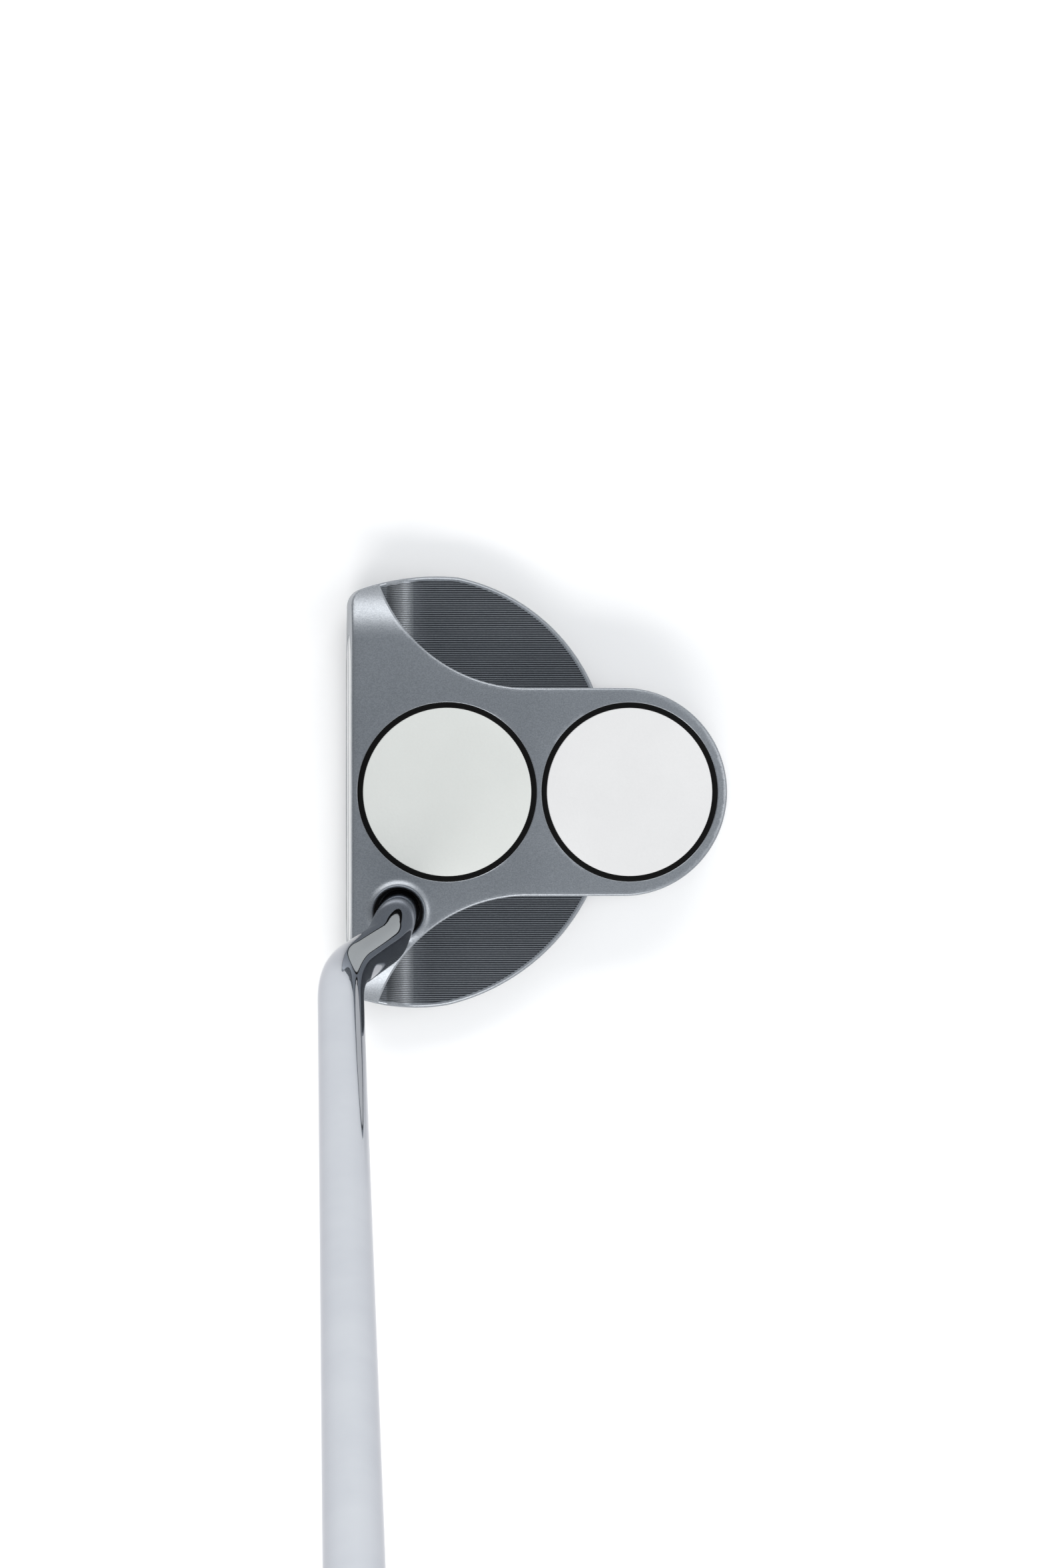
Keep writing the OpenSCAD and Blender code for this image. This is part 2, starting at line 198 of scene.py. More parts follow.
def fill(outer, holes, extra_points, extra_lines=(), keep=None):
    """Triangulates the area inside outer and outside holes; returns points and triangles.
    The first points are outer's, then each hole's, then the extra ones."""
    pts = [Vector(p) for p in outer]
    edges = [(i, (i + 1) % len(outer)) for i in range(len(outer))]
    for h in holes:
        base = len(pts)
        pts += [Vector(p) for p in h]
        edges += [(base + i, base + (i + 1) % len(h)) for i in range(len(h))]
    for run in extra_lines:
        base = len(pts)
        pts += [Vector(p) for p in run]
        edges += [(base + i, base + i + 1) for i in range(len(run) - 1)]
    pts += [Vector(p) for p in extra_points]
    verts, _, faces, _, _, _ = delaunay_2d_cdt(pts, edges, [], 0, 1e-5)
    v = np.array([tuple(p) for p in verts])
    f = np.array([t for t in faces if len(t) == 3])
    mid = v[f].mean(1)
    ok = inside(outer, mid[:, 0], mid[:, 1])
    for h in holes:
        ok &= ~inside(h, mid[:, 0], mid[:, 1])
    if keep is not None:
        ok &= keep(mid[:, 0], mid[:, 1])
    f = f[ok]
    a, b, c = v[f[:, 0]], v[f[:, 1]], v[f[:, 2]]
    area = (b[:, 0] - a[:, 0]) * (c[:, 1] - a[:, 1]) - (b[:, 1] - a[:, 1]) * (c[:, 0] - a[:, 0])
    f = f[abs(area) > 1e-7]
    return v, f


class Shell:
    """Collects vertices and faces, welded afterwards by distance."""

    def __init__(self):
        self.v = []
        self.f = []

    def add(self, verts, faces):
        base = len(self.v)
        self.v += [tuple(p) for p in verts]
        self.f += [tuple(base + i for i in q) for q in faces]

    def loft(self, loops, closed=True):
        """Quads between loops of equal length."""
        n = len(loops[0])
        base = len(self.v)
        for q in loops:
            self.v += [tuple(p) for p in q]
        last = n if closed else n - 1
        for k in range(len(loops) - 1):
            for i in range(last):
                j = (i + 1) % n
                a = base + k * n
                self.f.append((a + i, a + j, a + n + j, a + n + i))


# ------------------------------------------------------------------ outline of the head, mm
TOE_FRONT = ((-2.38, 0.69), 50.93)
TOE_BACK = ((-6.29, 6.93), 45.38)
HEEL_FRONT = ((-6.88, -9.58), 42.08)
HEEL_BACK = ((-11.06, -1.73), 50.62)
CORNER_R = 4.4
DECK_ARC = ((19.2, 62.3), 37.5)
HEEL_ARC = ((19.2, -62.3), 37.5)
STEP = 0.55


def corner_centre(big, side):
    """Centre of the rounded corner between the front line and a big arc."""
    (cx, cy), r = big
    x = FRONT_TOP_X + CORNER_R
    return (x, cy + side * math.sqrt((r - CORNER_R) ** 2 - (x - cx) ** 2))


TOE_C = corner_centre(TOE_FRONT, 1)
HEEL_C = corner_centre(HEEL_FRONT, -1)
TOE_TANGENT = angle(TOE_FRONT[0], TOE_C)
HEEL_TANGENT = angle(HEEL_FRONT[0], HEEL_C)
TOE_PEAK = circles_meet(*TOE_FRONT, *TOE_BACK, lambda x, y: y)
HEEL_PEAK = circles_meet(*HEEL_FRONT, *HEEL_BACK, lambda x, y: -y)
TOE_JOIN = circles_meet(*DECK_ARC, *TOE_FRONT, lambda x, y: -x)
HEEL_JOIN = circles_meet(*HEEL_ARC, *HEEL_FRONT, lambda x, y: -x)
TOE_ROOT = (TOE_BACK[0][0] + math.sqrt(TOE_BACK[1] ** 2 - (LOBE_R - TOE_BACK[0][1]) ** 2), LOBE_R)
HEEL_ROOT = (HEEL_BACK[0][0] + math.sqrt(HEEL_BACK[1] ** 2 - (-LOBE_R - HEEL_BACK[0][1]) ** 2), -LOBE_R)
JOIN_GAP = math.degrees(0.05 / TOE_FRONT[1])


def outline_loop():
    """The whole head seen from above, counter-clockwise from the heel end of the face."""
    hj, tj = angle(HEEL_FRONT[0], HEEL_JOIN), angle(TOE_FRONT[0], TOE_JOIN)
    return chain(
        arc(HEEL_C, CORNER_R, -180, HEEL_TANGENT, 0.35),
        arc(*HEEL_FRONT, HEEL_TANGENT, hj - JOIN_GAP, STEP),
        arc(*HEEL_FRONT, hj, angle(HEEL_FRONT[0], HEEL_PEAK), STEP),
        arc(*HEEL_BACK, angle(HEEL_BACK[0], HEEL_PEAK), angle(HEEL_BACK[0], HEEL_ROOT), STEP),
        line(HEEL_ROOT, (LOBE_X, -LOBE_R), 1.0),
        arc((LOBE_X, 0), LOBE_R, -90, 90, STEP),
        line((LOBE_X, LOBE_R), TOE_ROOT, 1.0),
        arc(*TOE_BACK, angle(TOE_BACK[0], TOE_ROOT), angle(TOE_BACK[0], TOE_PEAK), STEP),
        arc(*TOE_FRONT, angle(TOE_FRONT[0], TOE_PEAK), tj, STEP),
        arc(*TOE_FRONT, tj + JOIN_GAP, TOE_TANGENT, STEP),
        arc(TOE_C, CORNER_R, TOE_TANGENT, 180, 0.35),
        line((FRONT_TOP_X, TOE_C[1]), (FRONT_TOP_X, HEEL_C[1]), 1.2))


def deck_loop():
    """The raised deck seen from above, counter-clockwise."""
    return chain(
        arc(HEEL_C, CORNER_R, -180, HEEL_TANGENT, 0.35),
        arc(*HEEL_FRONT, HEEL_TANGENT, angle(HEEL_FRONT[0], HEEL_JOIN), STEP),
        arc(*HEEL_ARC, angle(HEEL_ARC[0], HEEL_JOIN), 90, STEP),
        line((DECK_ARC[0][0], -LOBE_R), (LOBE_X, -LOBE_R), 0.8),
        arc((LOBE_X, 0), LOBE_R, -90, 90, STEP),
        line((LOBE_X, LOBE_R), (DECK_ARC[0][0], LOBE_R), 0.8),
        arc(*DECK_ARC, -90, angle(DECK_ARC[0], TOE_JOIN), STEP),
        arc(*TOE_FRONT, angle(TOE_FRONT[0], TOE_JOIN), TOE_TANGENT, STEP),
        arc(TOE_C, CORNER_R, TOE_TANGENT, 180, 0.35),
        line((FRONT_TOP_X, TOE_C[1]), (FRONT_TOP_X, HEEL_C[1]), 0.6))


OUTLINE = outline_loop()
DECK = deck_loop()


def distance_to(loop, x, y, use=None):
    """Distance from points to a closed loop, counting only the segments in use."""
    p = np.asarray(loop, float)
    q = np.roll(p, -1, 0)
    if use is not None:
        m = use(p, q)
        p, q = p[m], q[m]
    out = np.full(np.shape(x), 1e9)
    pt = np.c_[np.ravel(x), np.ravel(y)]
    best = np.full(len(pt), 1e9)
    for a, b in zip(p, q):
        d = b - a
        t = np.clip(((pt - a) @ d) / max(d @ d, 1e-12), 0, 1)
        best = np.minimum(best, np.hypot(*(pt - a - t[:, None] * d).T))
    return best.reshape(out.shape)


def not_front(p, q):
    return ~((abs(p[:, 0] - FRONT_TOP_X) < 0.01) & (abs(q[:, 0] - FRONT_TOP_X) < 0.01))


CREASE_W = (1.6, 5.0)
ROLL_W = 3.4
ROLL_DROP = 0.09
BROW_W = 2.6
BROW_DROP = 0.16
BOSS_RISE = 0.5
LIP_R = 6.7
BOSS_FOOT = 8.3


def deck_z(x, y):
    """Height of the deck's top, with its shoulders, rolled edges and the boss."""
    x, y = np.asarray(x, float), np.asarray(y, float)
    u = x - CREASE_X
    w = CREASE_W[0] + (CREASE_W[1] - CREASE_W[0]) * smoothstep(abs(y), 8.0, 16.0)
    z = TOP_Z - 0.5 * (u + np.sqrt(u * u + w * w)) * math.tan(TILT)
    over = np.clip(abs(y) - SHOULDER_Y, 0, SHOULDER_R * 0.97)
    z = z - (SHOULDER_R - np.sqrt(SHOULDER_R ** 2 - over ** 2))
    d = distance_to(DECK, x, y, not_front)
    z = z - ROLL_DROP * np.clip(1 - d / ROLL_W, 0, 1) ** 2
    z = z - BROW_DROP * np.clip(1 - (x - FRONT_TOP_X) / BROW_W, 0, 1) ** 2
    r = np.hypot(x - BORE[0], y - BORE[1])
    return z + BOSS_RISE * (1 - smoothstep(r, LIP_R - 0.3, BOSS_FOOT)) ** 2


def ramp_z(x):
    u = RAMP_X - np.asarray(x, float)
    v = np.clip(u + RAMP_R * math.sin(RAMP_START), 0, RAMP_R * 0.985)
    z = WING_Z + RAMP_R * math.cos(RAMP_START) - np.sqrt(RAMP_R ** 2 - v ** 2)
    return np.where(u > 0, z, WING_Z)


def sole_z(y):
    return BODY_Z + CAMBER_R - np.sqrt(CAMBER_R ** 2 - np.asarray(y, float) ** 2)


def lofted(v):
    """Leans the front of the head back by the loft, blended out behind the face."""
    v = np.asarray(v, float).copy()
    w = 1 - smoothstep(v[:, 0], -20.6, -15.5)
    v[:, 0] -= (TOP_Z - v[:, 2]) * math.tan(LOFT) * w
    return v


def with_z(xy, z):
    xy = np.asarray(xy, float)
    return np.c_[xy, np.broadcast_to(z, len(xy))]


def circle(c, r, n):
    a = np.linspace(0, 2 * math.pi, n, endpoint=False)
    return np.c_[c[0] + r * np.cos(a), c[1] + r * np.sin(a)]


def grid_points(x0, x1, y0, y1, step):
    """Offset rows of points."""
    pts = []
    row = 0
    for y in np.arange(y0, y1, step * 0.87):
        shift = 0.5 * step * (row % 2)
        pts += [(x, y) for x in np.arange(x0 + shift, x1, step)]
        row += 1
    return np.array(pts)


# ------------------------------------------------------------------ head casting
EDGE_R = 0.45
RIM_R = 0.7
LEAD_R = 1.9
DECK_LOW = WING_Z - RIM_R
BEVEL = 0.16
ARC_STEPS = [0.0, 0.2, 0.4, 0.6, 0.8, 1.0]
# spacing of the deck's points, finer within these distances of its edge and of the bore
COARSE_STEP = 1.15
FINE_STEP = 0.6
FINE_EDGE = 4.4
FINE_BORE = 11.5
MOUTH_Z = 21.6


def seat_loop(rear, r, h):
    """A circle of a disc seat at height h over the deck plane, in the head's frame."""
    a = np.linspace(0, 2 * math.pi, 180, endpoint=False)
    if not rear:
        return np.c_[r * np.cos(a), r * np.sin(a), np.full(len(a), TOP_Z + h)]
    ct, st = math.cos(TILT), math.sin(TILT)
    return np.c_[REAR_X + r * np.cos(a) * ct + h * st, r * np.sin(a), REAR_Z - r * np.cos(a) * st + h * ct]


def rounded_top(loop, z_outer, radius):
    """Loops from the wall over a quarter round onto the top."""
    loops = []
    for t in ARC_STEPS:
        a = t * math.pi / 2
        p = offset_loop(loop, radius * (1 - math.cos(a)))
        loops.append(with_z(p, z_outer - radius * (1 - math.sin(a))))
    return loops


def front_quads(loop):
    """Indexes i of the segments that lie on the front line."""
    p = np.asarray(loop, float)
    q = np.roll(p, -1, 0)
    return ~not_front(p, q)


def loft_without(shell, loops, skip):
    n = len(loops[0])
    base = len(shell.v)
    for q in loops:
        shell.v += [tuple(p) for p in q]
    for k in range(len(loops) - 1):
        for i in range(n):
            if skip is not None and skip[i]:
                continue
            j = (i + 1) % n
            a = base + k * n
            shell.f.append((a + i, a + j, a + n + j, a + n + i))


def build_deck(shell):
    edge = np.asarray(DECK)
    top_at_edge = deck_z(edge[:, 0], edge[:, 1])
    skip = front_quads(DECK)
    loft_without(shell, [with_z(edge, DECK_LOW), with_z(edge, top_at_edge - EDGE_R)], skip)
    rounds = rounded_top(DECK, top_at_edge, EDGE_R)
    inner = rounds[-1][:, :2]
    rounds[-1][:, 2] = deck_z(inner[:, 0], inner[:, 1])
    loft_without(shell, rounds, None)
    seats = [seat_loop(False, SEAT_R + BEVEL, 0), seat_loop(True, SEAT_R + BEVEL, 0)]
    lip = circle(BORE, LIP_R, 96)
    grid = grid_points(-23, 67, -52, 52, COARSE_STEP)
    fine = grid_points(-23, 67, -52, 52, FINE_STEP)
    near = distance_to(DECK, fine[:, 0], fine[:, 1]) < FINE_EDGE
    near |= np.hypot(fine[:, 0] - BORE[0], fine[:, 1] - BORE[1]) < FINE_BORE
    pts = np.vstack([fine[near], grid])
    ok = inside(inner, pts[:, 0], pts[:, 1])
    ok &= distance_to(inner, pts[:, 0], pts[:, 1]) > 0.35
    ok &= np.hypot(pts[:, 0] - BORE[0], pts[:, 1] - BORE[1]) > LIP_R + 0.25
    ok &= np.hypot(pts[:, 0], pts[:, 1]) > SEAT_R + 0.4
    ok &= np.hypot((pts[:, 0] - REAR_X) / math.cos(TILT), pts[:, 1]) > SEAT_R + 0.4
    ok &= abs(pts[:, 0] - CREASE_X) > 0.3
    far = distance_to(DECK, pts[:, 0], pts[:, 1]) > FINE_EDGE
    far &= np.hypot(pts[:, 0] - BORE[0], pts[:, 1] - BORE[1]) > FINE_BORE
    is_fine = np.arange(len(pts)) < near.sum()
    ok &= is_fine | far
    crease = [[(CREASE_X, y) for y in np.linspace(-24.0, 24.0, 61)]]
    v, f = fill(inner, [s[:, :2] for s in seats] + [lip], pts[ok], crease)
    shell.add(np.c_[v, deck_z(v[:, 0], v[:, 1])], f)
    for rear in (False, True):
        top = seat_loop(rear, SEAT_R + BEVEL, 0)
        top[:, 2] = deck_z(top[:, 0], top[:, 1])
        shell.loft([top, seat_loop(rear, SEAT_R, -BEVEL), seat_loop(rear, SEAT_R, -SEAT_D)])
        floor = seat_loop(rear, SEAT_R, -SEAT_D)
        shell.add(floor, [tuple(range(len(floor)))])
    first = with_z(lip, 0)
    first[:, 2] = deck_z(lip[:, 0], lip[:, 1])
    rim = TOP_Z + BOSS_RISE
    profile = [(6.58, rim), (6.43, rim - 0.04), (6.25, rim - 0.15), (6.1, rim - 0.3),
               (5.95, rim - 0.52), (5.87, rim - 0.75), (MOUTH_R, rim - 1.25), (MOUTH_R, MOUTH_Z)]
    shell.loft([first] + [with_z(circle(BORE, r, 96), z) for r, z in profile])
    bottom = with_z(circle(BORE, MOUTH_R, 96), MOUTH_Z)
    shell.add(bottom, [tuple(range(len(bottom)))])
    return rounds[0]


def in_wing(x, y, grow=0.0):
    """Whether points lie in the sunk wings, grown by a little."""
    a = abs(y)
    return (np.hypot(x - DECK_ARC[0][0], a - DECK_ARC[0][1]) < DECK_ARC[1] + grow) | \
        ((x > DECK_ARC[0][0]) & (a > LOBE_R - grow))


def build_base(shell):
    edge = np.asarray(OUTLINE)
    low = sole_z(edge[:, 1])
    skip = front_quads(OUTLINE)
    under = []
    for t in ARC_STEPS:
        a = t * math.pi / 2
        p = offset_loop(OUTLINE, LEAD_R * (1 - math.sin(a)))
        under.append(np.c_[p, sole_z(p[:, 1]) + LEAD_R * (1 - math.cos(a))])
    loft_without(shell, under, None)
    lead = under[-1]
    wing = in_wing(edge[:, 0], edge[:, 1], 0.004)
    wing &= (edge[:, 0] < TOE_ROOT[0] + 0.01) | (edge[:, 0] < HEEL_ROOT[0] + 0.01) & (edge[:, 1] < 0)
    wing &= abs(edge[:, 1]) > LOBE_R + 0.01
    height = np.where(wing, ramp_z(edge[:, 0]), WING_Z)
    rounds = rounded_top(OUTLINE, height, RIM_R)
    loft_without(shell, [lead, rounds[0]], skip)
    land = offset_loop(OUTLINE, RIM_W)
    loft_without(shell, rounds + [with_z(land, height)], None)
    bottom = under[0][:, :2]
    holes = [circle((WEIGHT_X, s * WEIGHT_Y), POCKET_MOUTH_R, 72) for s in (-1, 1)]
    grid = grid_points(-24, 67, -52, 52, 2.2)
    ok = inside(bottom, grid[:, 0], grid[:, 1]) & (distance_to(bottom, grid[:, 0], grid[:, 1]) > 0.8)
    for h in (-1, 1):
        ok &= np.hypot(grid[:, 0] - WEIGHT_X, grid[:, 1] - h * WEIGHT_Y) > 7.3
    v, f = fill(bottom, holes, grid[ok])
    shell.add(np.c_[v, sole_z(v[:, 1])], f[:, ::-1])
    for s in (-1, 1):
        c = (WEIGHT_X, s * WEIGHT_Y)
        mouth = circle(c, POCKET_MOUTH_R, 72)
        thread_z = SEAT_Z + 0.4
        turns = 6
        profile = [(POCKET_R, sole_z(s * WEIGHT_Y) + 0.8), (POCKET_R, SEAT_Z), (5.45, SEAT_Z),
                   (THREAD_HOLE_R, thread_z)]
        for k in range(turns):
            z = thread_z + THREAD_RING_STEP * k
            profile += [(THREAD_DEEP_R, z + THREAD_RING_STEP / 2), (THREAD_HOLE_R, z + THREAD_RING_STEP)]
        rows = [np.c_[mouth, sole_z(mouth[:, 1])]]
        shell.loft(rows + [with_z(circle(c, r, 72), z) for r, z in profile])
        top = with_z(circle(c, THREAD_HOLE_R, 72), thread_z + THREAD_RING_STEP * turns)
        shell.add(top, [tuple(range(72))])
    return land, height, lead


def wing_floor(shell, land, side, groove_faces, ramp_faces):
    """The ribbed floor of one wing: ridges along X, their ends run out at the rim."""
    n_before = len(shell.f)
    y0, y1 = LOBE_R - 0.7, 51.5
    lines = []
    land = np.asarray(land)
    a, b = land, np.roll(land, -1, 0)
    profile = [(0.0, 0.0), (0.17, 0.0), (0.26, 1.0), (0.43, 1.0)]
    k0 = int(y0 / RIB_PITCH)
    pts_info = []
    for k in range(k0, int(y1 / RIB_PITCH) + 1):
        for off, depth in profile:
            y = side * (k * RIB_PITCH + off)
            cross = (a[:, 1] > y) != (b[:, 1] > y)
            xs = a[cross, 0] + (y - a[cross, 1]) * (b[cross, 0] - a[cross, 0]) / (b[cross, 1] - a[cross, 1])
            if len(xs) < 2:
                continue
            lo, hi = xs.min(), xs.max()
            q = abs(y) - DECK_ARC[0][1]
            grown = DECK_ARC[1] + 0.6
            if abs(q) < grown:
                lo = max(lo, DECK_ARC[0][0] - math.sqrt(grown ** 2 - q * q))
            else:
                lo = max(lo, DECK_ARC[0][0])
            if abs(y) < LOBE_R - 0.65 or hi - lo < 1.0:
                continue
            at_left_rim = lo <= xs.min() + 1e-6
            x = [lo, lo + 0.22]
            x += [v for v in np.arange(-15.6, RAMP_X + 0.3, 0.65) if lo + 0.5 < v < hi - 0.5]
            x += [v for v in (-4.0, 4.0, 12.0, 20.0, 28.0) if lo + 0.5 < v < hi - 0.5]
            x += [hi - 0.22, hi]
            run = []
            for i, v in enumerate(x):
                shallow = i == len(x) - 1 or (i == 0 and at_left_rim)
                run.append((v, y))
                pts_info.append((v, y, 0.0 if shallow else depth))
            lines.append(run)
    v, f = fill(land, [], [], lines,
                keep=lambda x, y: in_wing(x, y, 0.55) & (y * side > LOBE_R - 0.62) & (x < 37.5))
    keys = {(round(float(x), 2), round(float(y), 2)): d for x, y, d in pts_info}
    depth = np.array([keys.get((round(float(x), 2), round(float(y), 2)), 0.0) for x, y in v])
    z = ramp_z(v[:, 0]) - RIB_DEPTH * depth * np.where(v[:, 0] < RAMP_X, RAMP_RIB_SHARE, 1.0)
    shell.add(np.c_[v, z], f)
    # Groove faces take the painted-shade metal; those on the ramp take its lighter painted-shade copy.
    for j, t in enumerate(f):
        if depth[t].sum() > 0.9:
            (groove_faces if v[t, 0].mean() > RAMP_X else ramp_faces).append(n_before + j)


def build_face(shell, brow, lead):
    """The flat of the face, with the insert's recess."""
    top = brow[abs(brow[:, 0] - FRONT_TOP_X) < 0.01]
    low = lead[abs(lead[:, 0] - FRONT_TOP_X) < 0.01]
    top = top[np.argsort(top[:, 1])]
    low = low[np.argsort(low[:, 1])]
    outer = [(p[1], p[2]) for p in low] + [(p[1], p[2]) for p in top[::-1]]
    hole = stadium_loop(37.6, 8.6, FACE_ZC)
    grid = grid_points(-43, 43, 2, 25, 2.5)
    ok = inside(outer, grid[:, 0], grid[:, 1])
    ok &= ~inside(stadium_loop(38.4, 9.4, FACE_ZC), grid[:, 0], grid[:, 1])
    ok &= distance_to(outer, grid[:, 0], grid[:, 1]) > 0.8
    v, f = fill(outer, [hole], grid[ok])
    shell.add(np.c_[np.full(len(v), FRONT_TOP_X), v], f)
    h = np.asarray(hole)
    rows = [np.c_[np.full(len(h), FRONT_TOP_X + d), h] for d in (0.0, 0.06, 2.6)]
    rows[1][:, 1:] = np.asarray(stadium_loop(37.54, 8.54, FACE_ZC))
    rows[2][:, 1:] = rows[1][:, 1:]
    shell.loft(rows)


def stadium_loop(half_l, half_h, zc):
    """Closed loop of (y, z) points around the insert."""
    n = 28
    right = [(half_l - half_h + half_h * math.cos(a), zc + half_h * math.sin(a))
             for a in np.linspace(-math.pi / 2, math.pi / 2, n)]
    left = [(-half_l + half_h - half_h * math.cos(a), zc - half_h * math.sin(a))
            for a in np.linspace(-math.pi / 2, math.pi / 2, n)]
    return right + left


def build_head():
    shell = Shell()
    groove_faces, ramp_faces = [], []
    brow = build_deck(shell)
    land, height, lead = build_base(shell)
    for side in (1, -1):
        wing_floor(shell, land, side, groove_faces, ramp_faces)
    build_face(shell, brow, lead)
    v = lofted(shell.v)
    me = bpy.data.meshes.new("head_casting")
    me.from_pydata([tuple(p * MM) for p in v], [], shell.f)
    ob = bpy.data.objects.new("head_casting", me)
    bpy.context.scene.collection.objects.link(ob)
    me.materials.append(M_HEAD)
    me.materials.append(M_GROOVE_SHADE)
    me.materials.append(M_RAMP_GROOVE_LESS_SHADE)
    # Material 1 is the grooves' painted shade; material 2 is its lighter copy on the ramp.
    index = np.zeros(len(me.polygons), int)
    index[groove_faces] = 1
    index[ramp_faces] = 2
    me.polygons.foreach_set("material_index", index)
    weld(ob)
    shade(ob, 28)
    return ob


# ------------------------------------------------------------------ turned and swept pieces
def revolve(name, rows, smooth=30):
    """rows are loops of equal length; the first and last are closed with a face."""
    shell = Shell()
    shell.loft(rows)
    for row in (rows[0], rows[-1]):
        shell.add(row, [tuple(range(len(row)))])
    return mesh_object(name, shell.v, shell.f, smooth)


def disc_rows(rear, profile):
    return [seat_loop(rear, r, h) for r, h in profile]


def build_disc(name, rear):
    """White disc with a softly rounded edge and a barely domed top."""
    profile = [(DISC_R, -2.1), (DISC_R, -0.22)]
    profile += [(DISC_R - 0.2 * (1 - math.cos(a)), -0.22 + 0.22 * math.sin(a))
                for a in np.radians([15, 30, 45, 60, 75])]
    profile += [(r, 0.035 * (1 - (r / DISC_R) ** 2)) for r in (19.8, 18, 15, 12, 9, 6, 3, 0.6)]
    return revolve(name, disc_rows(rear, profile))


def build_ring(name, rear):
    """Black ring between disc and seat, its top rounded and a little low."""
    r0, r1 = DISC_R + 0.03, RING_R
    h = -0.14
    profile = [(r1, -2.3), (r1, h - 0.12), (r1 - 0.05, h - 0.04), (r1 - 0.14, h), (r0 + 0.14, h),
               (r0 + 0.05, h - 0.04), (r0, h - 0.12), (r0, -2.3), (r1, -2.3)]
    shell = Shell()
    shell.loft(disc_rows(rear, profile))
    return mesh_object(name, shell.v, shell.f, 40)


def build_insert():
    """Face insert: flat front a hair below the face, edge rounded."""
    def loop(half_l, half_h, depth):
        p = np.asarray(stadium_loop(half_l, half_h, FACE_ZC))
        return np.c_[np.full(len(p), FRONT_TOP_X + depth), p]
    rows = [loop(37.45, 8.45, 2.4), loop(37.45, 8.45, 0.22), loop(37.4, 8.4, 0.13), loop(37.3, 8.3, 0.09)]
    shell = Shell()
    shell.loft(rows)
    shell.add(rows[0], [tuple(range(len(rows[0])))])
    flat = stadium_loop(37.3, 8.3, FACE_ZC)
    grid = grid_points(-37, 37, 4, 21, 1.5)
    ok = inside(flat, grid[:, 0], grid[:, 1]) & (distance_to(flat, grid[:, 0], grid[:, 1]) > 0.5)
    v, f = fill(flat, [], grid[ok])
    shell.add(np.c_[np.full(len(v), FRONT_TOP_X + 0.09), v], f)
    return mesh_object("insert_white", lofted(shell.v), shell.f, 30)


# shaft axis, mm, as in the CAD
LEAN = math.radians(20.0)
LINE_X = -26.4
GROUND_Y = 12 * math.tan(LEAN)
BORE_POINT = np.array([-11.6, -28.6, 25.0])
KNEE_1 = np.array([-15.4, -35.24, 69.0])
KNEE_2 = np.array([LINE_X, GROUND_Y - 125.2 * math.tan(LEAN), 125.2])
GROUND = np.array([LINE_X, GROUND_Y, 0.0])
BEND_R = 110.0
CLUB_L = 863.6
BUTT_S = CLUB_L - 3.6
GRIP_L = 266.0
GRIP_S0 = CLUB_L - GRIP_L


def unit(v):
    return v / np.linalg.norm(v)


DIR_1 = unit(KNEE_1 - BORE_POINT)
DIR_2 = unit(KNEE_2 - KNEE_1)
DIR_3 = np.array([0, -math.sin(LEAN), math.cos(LEAN)])


def bend_points(knee, a, b, n):
    turn = math.acos(float(a @ b))
    trim = BEND_R * math.tan(turn / 2)
    start = knee - trim * a
    side = unit(b - (a @ b) * a)
    centre = start + BEND_R * side
    return [centre - BEND_R * side * math.cos(t) + BEND_R * a * math.sin(t) for t in np.linspace(0, turn, n)]


def shaft_path():
    b1 = bend_points(KNEE_1, DIR_1, DIR_2, 28)
    b2 = bend_points(KNEE_2, DIR_2, DIR_3, 44)
    tip = BORE_POINT - 20.5 * DIR_1
    pts = [tip + (b1[0] - tip) * t for t in np.linspace(0, 1, 40)[:-1]] + b1
    pts += [b1[-1] + (b2[0] - b1[-1]) * t for t in np.linspace(0, 1, 24)[1:-1]] + b2
    end = GROUND + BUTT_S * DIR_3
    pts += [b2[-1] + (end - b2[-1]) * t for t in np.linspace(0, 1, 120)[1:]]
    p = np.array(pts)
    knots = [tip, b1[0], b1[-1], b2[0], b2[-1], end]
    lengths = np.r_[0, np.cumsum(np.linalg.norm(np.diff(p, axis=0), axis=1))]
    at = [lengths[np.argmin(np.linalg.norm(p - k, axis=1))] for k in knots]
    r = np.interp(lengths, at, [4.8, 5.05, 5.06, 5.25, 5.26, 7.5])
    return p, r


def sweep(p, radii, n=96, up=(1.0, 0.0, 0.0)):
    """Round tube loops along a path, kept from twisting."""
    t = np.gradient(p, axis=0)
    t /= np.linalg.norm(t, axis=1)[:, None]
    u = np.array(up) - (np.array(up) @ t[0]) * t[0]
    loops = []
    a = np.linspace(0, 2 * math.pi, n, endpoint=False)
    for k in range(len(p)):
        u = unit(u - (u @ t[k]) * t[k])
        w = np.cross(t[k], u)
        loops.append(p[k] + radii[k] * (np.cos(a)[:, None] * u + np.sin(a)[:, None] * w))
    return loops


def build_shaft():
    p, r = shaft_path()
    smooth = r.copy()
    for _ in range(6):
        smooth[1:-1] = (smooth[:-2] + smooth[1:-1] + smooth[2:]) / 3
    loops = sweep(p, smooth, 128)
    wall = 0.5
    inner_tip = p[0] + (loops[0] - p[0]) * (1 - wall / smooth[0])
    inner_butt = p[-1] + (loops[-1] - p[-1]) * (1 - wall / smooth[-1])
    shell = Shell()
    shell.loft([inner_tip + 12 * DIR_1, inner_tip] + loops + [inner_butt, inner_butt - 12 * DIR_3])
    for row in (inner_tip + 12 * DIR_1, inner_butt - 12 * DIR_3):
        shell.add(row, [tuple(range(len(row)))])
    return mesh_object("shaft_chrome", shell.v, shell.f, 40)


